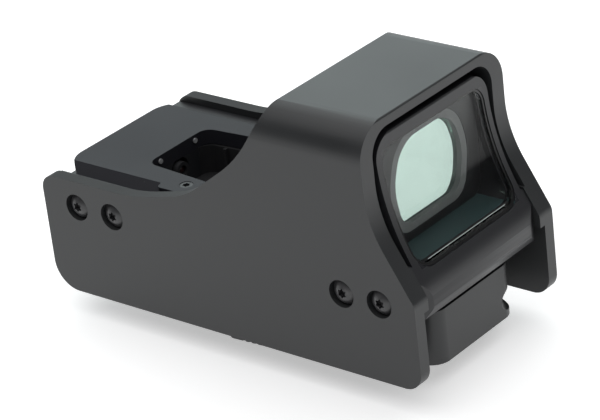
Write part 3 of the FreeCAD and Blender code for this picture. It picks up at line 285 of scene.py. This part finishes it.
def finished(name, group, tone, roughness, grain=1.0, dust=0.3, metallic=0.0, level=0.5,
             bump_depth=0.04 * MM, bump_strength=0.12):
    """Material that feeds one shared finish into a shader with its own values."""
    made = bpy.data.materials.new(name)
    made.use_nodes = True
    tree = made.node_tree
    shader = tree.nodes["Principled BSDF"]
    shader.inputs["Metallic"].default_value = metallic
    shader.inputs["Specular IOR Level"].default_value = level
    layer = node(tree, "ShaderNodeGroup", node_tree=group)
    layer.inputs["Tone"].default_value = (*tone, 1)
    layer.inputs["Roughness"].default_value = roughness
    layer.inputs["Grain"].default_value = grain
    layer.inputs["Dust"].default_value = dust
    bump = node(tree, "ShaderNodeBump")
    bump.inputs["Strength"].default_value = bump_strength
    bump.inputs["Distance"].default_value = bump_depth
    tree.links.new(layer.outputs["Color"], shader.inputs["Base Color"])
    tree.links.new(layer.outputs["Roughness"], shader.inputs["Roughness"])
    tree.links.new(layer.outputs["Height"], bump.inputs["Height"])
    tree.links.new(bump.outputs["Normal"], shader.inputs["Normal"])
    return made


def dress(piece, material):
    """Gives a piece one material in all of its slots."""
    piece.data.materials.clear()
    piece.data.materials.append(material)


def plain(node_name, material):
    """Keeps a CAD piece's own mesh and gives it its finish."""
    dress(frame["nodes"][node_name], material)


# The panels' sawn top edges, below the roof, are duller than the blasted faces.
PANEL_EDGE_TOP = 55.0 * MM
SAWN_ROUGHNESS = 0.30
hood_black = finished("hood_anodising", skin, (0.018, 0.019, 0.020), 0.40)
tree = hood_black.node_tree
facing = node(tree, "ShaderNodeSeparateXYZ")
tree.links.new(node(tree, "ShaderNodeNewGeometry").outputs["Normal"], facing.inputs[0])
spot = node(tree, "ShaderNodeSeparateXYZ")
tree.links.new(node(tree, "ShaderNodeTexCoord").outputs["Object"], spot.inputs[0])
sawn = combine(tree, "MULTIPLY",
               remap(tree, facing.outputs["Z"], 0.5, 0.9, 0.0, SAWN_ROUGHNESS),
               combine(tree, "LESS_THAN", spot.outputs["Z"], PANEL_EDGE_TOP))
rough_input = tree.nodes["Principled BSDF"].inputs["Roughness"]
tree.links.new(combine(tree, "ADD", rough_input.links[0].from_socket, sawn), rough_input)
dress(softened("hood", 0.20 * MM), hood_black)


# ---- Hood screws ------------------------------------------------------------------
# Eight M3 button heads of black-oxide steel, sunk in counterbores in the two panels.
# The heads are turned and the driver recesses pressed, so they shine a little more.
WORN_GAIN = (2.4, 2.3, 2.2, 1)
steel = finish_group("turned_steel", (0.1, 0.1, 0.1), 0.3)
entry = node(steel, "NodeGroupInput")
leave = node(steel, "NodeGroupOutput")
place = node(steel, "ShaderNodeTexCoord").outputs["Object"]
rub = noise(steel, place, 380.0, 4.0, 0.6)
line = noise(steel, place, 2600.0, 3.0, 0.6)
wear = remap(steel, rub, 0.52, 0.72, 0.0, 1.0)
worn_tone = blended(steel, 1.0, entry.outputs["Tone"], WORN_GAIN, "MULTIPLY")
steel.links.new(
    blended(steel, combine(steel, "MULTIPLY", wear, entry.outputs["Dust"]),
            entry.outputs["Tone"], worn_tone),
    leave.inputs["Color"])
rough = combine(steel, "ADD", entry.outputs["Roughness"],
                remap(steel, line, 0.3, 0.7, -0.05, 0.07))
steel.links.new(rough, leave.inputs["Roughness"])
steel.links.new(combine(steel, "MULTIPLY", line, entry.outputs["Grain"]),
                leave.inputs["Height"])

black_oxide = finished("black_oxide", steel, (0.028, 0.028, 0.030), 0.36,
                       dust=0.8, level=0.6)
for panel in ("hood_screws_right", "hood_screws_left"):
    dress(softened(panel, 0.06 * MM, 1), black_oxide)


# ---- Lower body -------------------------------------------------------------------
# Milled block between the panels that holds the well, the emitter chamber and the
# cell. It is anodised with the deck.
body_black = finished("body_anodising", skin, (0.012, 0.013, 0.015), 0.48)
dress(softened("lower_body", 0.12 * MM, 1), body_black)


# ---- Deck -------------------------------------------------------------------------
# Flat plate over the body with a sloped flank down each side and the rounded mouth of
# the light well. Four small flat-head screws hold it, level with its top.
deck_black = finished("deck_anodising", skin, (0.012, 0.012, 0.017), 0.56, level=0.30)
dress(softened("deck_plate", 0.16 * MM), deck_black)
plain("deck_screws", finished("deck_screw_oxide", steel, (0.016, 0.017, 0.020), 0.45,
                              dust=0.5))


# ---- Light well -------------------------------------------------------------------
# Ribbed black liner that swallows stray light, and two bright dowels whose ends show
# in the rear wall of the mouth.
LIGHTER_GAIN = (1.5, 1.5, 1.5, 1)
LINT_TONE = (0.25, 0.25, 0.25, 1)
moulding = finish_group("moulded_black", (0.02, 0.02, 0.02), 0.6)
entry = node(moulding, "NodeGroupInput")
leave = node(moulding, "NodeGroupOutput")
place = node(moulding, "ShaderNodeTexCoord").outputs["Object"]
pebble = noise(moulding, place, 1900.0, 3.0, 0.55)
drift = noise(moulding, place, 160.0, 3.0)
lint = remap(moulding, noise(moulding, place, 1300.0, 4.0, 0.75), 0.68, 0.76, 0.0, 1.0)
lint = combine(moulding, "MULTIPLY", lint, entry.outputs["Dust"])
lighter = blended(moulding, 1.0, entry.outputs["Tone"], LIGHTER_GAIN, "MULTIPLY")
tone = blended(moulding, remap(moulding, drift, 0.35, 0.65, 0.0, 1.0),
               entry.outputs["Tone"], lighter)
tone = blended(moulding, combine(moulding, "MULTIPLY", lint, 0.3), tone, LINT_TONE)
moulding.links.new(tone, leave.inputs["Color"])
rough = combine(moulding, "ADD", entry.outputs["Roughness"],
                remap(moulding, drift, 0.3, 0.7, -0.05, 0.05))
moulding.links.new(rough, leave.inputs["Roughness"])
moulding.links.new(combine(moulding, "MULTIPLY", pebble, entry.outputs["Grain"]),
                   leave.inputs["Height"])

plain("well_liner", finished("liner_black", moulding, (0.006, 0.006, 0.007), 0.75, dust=0.1))
plain("well_pins", finished("dowel_steel", steel, (0.42, 0.43, 0.44), 0.45, metallic=0.4))


# ---- Window housing ---------------------------------------------------------------
# Square tube between the panels with the leaning bezel and the chin below it. It is
# bored and milled from one block and anodised with the hood. Its tunnel is polished,
# and a thin band of the tunnel's floor is painted blue-green, a painted reflection of the
# coated lens.
TUNNEL_HALF = 17.5 * MM
TUNNEL_FLOOR = 30.90 * MM
TUNNEL_ROOF = 56.25 * MM
TUNNEL_POLISH = 0.31
# Painted reflection: the lowest band of the tunnel floor is tinted the coated lens's
# blue-green.
REFLECTION_BAND_DEPTH = 0.4 * MM
LENS_REFLECTION_TONE = (0.050, 0.085, 0.088, 1)
housing_black = finished("housing_anodising", skin, (0.012, 0.012, 0.014), 0.38)
tree = housing_black.node_tree
spot = node(tree, "ShaderNodeSeparateXYZ")
tree.links.new(node(tree, "ShaderNodeTexCoord").outputs["Object"], spot.inputs[0])
inside = combine(tree, "LESS_THAN",
                 combine(tree, "ABSOLUTE", spot.outputs["X"], 0), TUNNEL_HALF)
inside = combine(tree, "MULTIPLY", inside,
                 combine(tree, "GREATER_THAN", spot.outputs["Z"], TUNNEL_FLOOR))
inside = combine(tree, "MULTIPLY", inside,
                 combine(tree, "LESS_THAN", spot.outputs["Z"], TUNNEL_ROOF))
shader = tree.nodes["Principled BSDF"]
shine = combine(tree, "SUBTRACT", shader.inputs["Roughness"].links[0].from_socket,
                combine(tree, "MULTIPLY", inside, TUNNEL_POLISH))
tree.links.new(shine, shader.inputs["Roughness"])
relief = tree.nodes["Bump"].inputs["Height"]
tree.links.new(combine(tree, "MULTIPLY", relief.links[0].from_socket,
                       combine(tree, "SUBTRACT", 1.0, inside)), relief)
facing = node(tree, "ShaderNodeSeparateXYZ")
tree.links.new(node(tree, "ShaderNodeNewGeometry").outputs["Normal"], facing.inputs[0])
# Painted reflection of the lens: the up-facing floor in the tunnel's lowest band takes the
# blue-green tone.
painted_reflection = combine(tree, "MULTIPLY", inside,
               combine(tree, "LESS_THAN", spot.outputs["Z"], TUNNEL_FLOOR + REFLECTION_BAND_DEPTH))
painted_reflection = combine(tree, "MULTIPLY", painted_reflection, remap(tree, facing.outputs["Z"], 0.7, 0.9, 0.0, 1.0))
tree.links.new(blended(tree, painted_reflection, shader.inputs["Base Color"].links[0].from_socket,
                       LENS_REFLECTION_TONE), shader.inputs["Base Color"])
dress(softened("window_housing", 0.45 * MM, 3), housing_black)
plain("housing_screws", black_oxide)


# ---- Front window -----------------------------------------------------------------
# Clear hard-coated glass that follows the bezel's curved face, bedded in a bead of
# black sealant.
WIPED_GAIN = 1.03


def clear_glass(name, tint, roughness, index, mirror=0.0, lean=0.0):
    """Clear glass with faint wipe marks and, if wanted, a mirror coating that leans up."""
    made = bpy.data.materials.new(name)
    made.use_nodes = True
    tree = made.node_tree
    shader = tree.nodes["Principled BSDF"]
    shader.inputs["Transmission Weight"].default_value = 1.0
    shader.inputs["IOR"].default_value = index
    shader.inputs["Metallic"].default_value = mirror
    place = node(tree, "ShaderNodeTexCoord").outputs["Object"]
    haze = noise(tree, place, 120.0, 3.0)
    paler = tuple(min(1.0, value * WIPED_GAIN) for value in tint)
    tree.links.new(
        blended(tree, remap(tree, haze, 0.35, 0.65, 0.0, 1.0), (*tint, 1), (*paler, 1)),
        shader.inputs["Base Color"])
    tree.links.new(remap(tree, haze, 0.35, 0.65, roughness * 0.5, roughness),
                   shader.inputs["Roughness"])
    if lean:
        tipped = node(tree, "ShaderNodeVectorMath", operation="ADD")
        tipped.inputs[1].default_value = (0, 0, lean)
        square_on = node(tree, "ShaderNodeVectorMath", operation="NORMALIZE")
        tree.links.new(node(tree, "ShaderNodeNewGeometry").outputs["Normal"], tipped.inputs[0])
        tree.links.new(tipped.outputs[0], square_on.inputs[0])
        tree.links.new(square_on.outputs[0], shader.inputs["Normal"])
    return made


plain("front_window", clear_glass("window_glass", (0.95, 0.97, 0.96), 0.004, 1.2))
sealant_black = finished("sealant_black", moulding, (0.005, 0.005, 0.005), 0.28,
                         grain=0.4, dust=0.2)
plain("window_sealant", sealant_black)

# Sealant that squeezed out in small lobes over the pane, along its foot and its head,
# and the pane's ground lower edge, a thin pale line just above the lobes.
FACE_SLOPE = 0.6
FACE_FOOT = Vector((0, 48.75, 30.75)) * MM
FACE_HEAD = Vector((0, 41.25, 56.30)) * MM
FOOT_HALF_RUN = 13.0 * MM
HEAD_HALF_RUN = 12.6 * MM
LOBE_LENGTHS = (0.9, 2.3)
LOBE_HEIGHTS = (0.25, 0.55)
LOBE_OVERLAP = 0.60
LOBE_DEPTH = 0.20 * MM
GROUND_EDGE = (27.6 * MM, 0.06 * MM, 0.15 * MM)
GROUND_EDGE_RISE = 0.75
face_up = Vector((0, -FACE_SLOPE, 1)).normalized()


def as_piece(shape, name, body, material, smooth=True):
    """Makes a finished bmesh a piece of the sight, riding on one of its bodies."""
    bmesh.ops.recalc_face_normals(shape, faces=shape.faces)
    for face in shape.faces:
        face.smooth = smooth
    data = bpy.data.meshes.new(name)
    shape.to_mesh(data)
    shape.free()
    piece = bpy.data.objects.new(name, data)
    scene.collection.objects.link(piece)
    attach(piece, body)
    dress(piece, material)


lobe_draw = random.Random(7)
lobes = bmesh.new()
for start, up, half_run in (
        (FACE_FOOT, face_up, FOOT_HALF_RUN),
        (FACE_HEAD, Vector((0, 0, 1)), HEAD_HALF_RUN)):
    along = -half_run
    while along < half_run:
        length = lobe_draw.uniform(*LOBE_LENGTHS) * MM
        height = lobe_draw.uniform(*LOBE_HEIGHTS) * MM
        lobe = bmesh.ops.create_icosphere(lobes, subdivisions=2, radius=1.0)["verts"]
        bmesh.ops.scale(lobes, verts=lobe, vec=(length * LOBE_OVERLAP, LOBE_DEPTH, height))
        tilt = Vector((0, 0, 1)).rotation_difference(up).to_matrix()
        bmesh.ops.rotate(lobes, verts=lobe, cent=(0, 0, 0), matrix=tilt)
        middle = Vector((along + length / 2, 0, 0))
        bmesh.ops.translate(lobes, verts=lobe, vec=start + middle)
        along += length
as_piece(lobes, "sealant_lobes", "sight_body", sealant_black)

edge = bmesh.new()
strip = bmesh.ops.create_cube(edge, size=1.0)["verts"]
bmesh.ops.scale(edge, verts=strip, vec=GROUND_EDGE)
bmesh.ops.rotate(edge, verts=strip, cent=(0, 0, 0),
                 matrix=Vector((0, 0, 1)).rotation_difference(face_up).to_matrix())
bmesh.ops.translate(edge, verts=strip, vec=FACE_FOOT + face_up * GROUND_EDGE_RISE * MM)
as_piece(edge, "pane_ground_edge", "sight_body",
         finished("ground_glass", moulding, (0.42, 0.47, 0.46), 0.45, grain=0.3), False)


# ---- Reflector lens ---------------------------------------------------------------
# Green-coated lens with bowed sides that sends the dot back to the eye. It lies in a
# black cell behind a grey spacer ring, and a retainer frame holds it from behind.
plain("reflector_lens",
      clear_glass("coated_lens", (0.76, 0.95, 0.87), 0.006, 1.5, mirror=0.55, lean=0.18))
plain("lens_ring", finished("spacer_satin", steel, (0.20, 0.205, 0.205), 0.6, dust=0.1))
plain("lens_cell", finished("cell_black", moulding, (0.006, 0.006, 0.007), 0.45, dust=0.1))
plain("lens_retainer", finished("retainer_black", moulding, (0.010, 0.010, 0.011), 0.5,
                                dust=0.2))


# ---- Battery ----------------------------------------------------------------------
# Turned cap with a rubber sealing ring, a bright cylindrical cell with a printed
# jacket and a sprung brass contact at the end of its bore.
dress(softened("battery_cap", 0.10 * MM),
      finished("cap_anodising", skin, (0.016, 0.017, 0.018), 0.38))
plain("battery_cap_ring", finished("ring_rubber", moulding, (0.010, 0.010, 0.010), 0.55))
plain("battery_cell", finished("cell_jacket", steel, (0.30, 0.32, 0.34), 0.30, metallic=0.6))
plain("battery_contact", finished("contact_brass", steel, (0.70, 0.52, 0.22), 0.28,
                                  metallic=1.0))


# ---- Buttons ----------------------------------------------------------------------
# Two rubber buttons in a screwed-on frame in the rear face. Each has a raised arrow
# head, one down for dimmer and one up for brighter.
dress(softened("button_frame", 0.10 * MM),
      finished("frame_anodising", skin, (0.014, 0.014, 0.016), 0.5))
plain("button_frame_screws", black_oxide)
button_rubber = finished("button_rubber", moulding, (0.022, 0.022, 0.023), 0.62,
                         bump_depth=0.06 * MM, bump_strength=0.25)
for button in ("button_dimmer", "button_brighter"):
    dress(softened(button, 0.08 * MM), button_rubber)


# ---- Electronics ------------------------------------------------------------------
# Two green boards, two switches behind the buttons and the parts soldered on, all
# closed in the bay of the lower body.
board_green = finished("solder_mask", moulding, (0.02, 0.12, 0.06), 0.32, grain=0.5)
for board in ("switch_board", "control_board"):
    plain(board, board_green)
chip_black = finished("chip_black", moulding, (0.015, 0.015, 0.016), 0.5, grain=0.8)
for chips in ("switches", "board_components"):
    plain(chips, chip_black)


# ---- Adjusters --------------------------------------------------------------------
# A wedge lifts the sled and a screw shifts the emitter block across it. Both screws
# are turned from steel, and their slotted heads show in the left panel.
inner_alloy = finished("inner_alloy", skin, (0.014, 0.014, 0.016), 0.55)
for slide in ("elevation_sled", "elevation_wedge", "windage_block"):
    plain(slide, inner_alloy)
adjuster_steel = finished("adjuster_steel", steel, (0.10, 0.10, 0.105), 0.34, metallic=1.0)
for screw in ("elevation_screw", "windage_screw"):
    plain(screw, adjuster_steel)
plain("emitter", finished("emitter_smoke", moulding, (0.014, 0.005, 0.005), 0.30, grain=0.2))


# ---- Rail clamp -------------------------------------------------------------------
# Milled foot with the fixed jaw and the nose under the chin, a sliding jaw on a cross
# bolt and a guide pin, and the lever whose cam draws the jaw home.
foot_black = finished("foot_anodising", skin, (0.020, 0.021, 0.022), 0.42)
for milled in ("clamp_foot", "clamp_jaw", "clamp_lever"):
    dress(softened(milled, 0.18 * MM), foot_black)
plain("foot_screws", black_oxide)
bolt_steel = finished("bolt_steel", steel, (0.60, 0.61, 0.62), 0.25, metallic=1.0)
for bar in ("cross_bolt", "jaw_guide_pin"):
    plain(bar, bolt_steel)
plain("cross_bolt_nut", finished("nut_steel", steel, (0.20, 0.20, 0.21), 0.35, metallic=1.0))
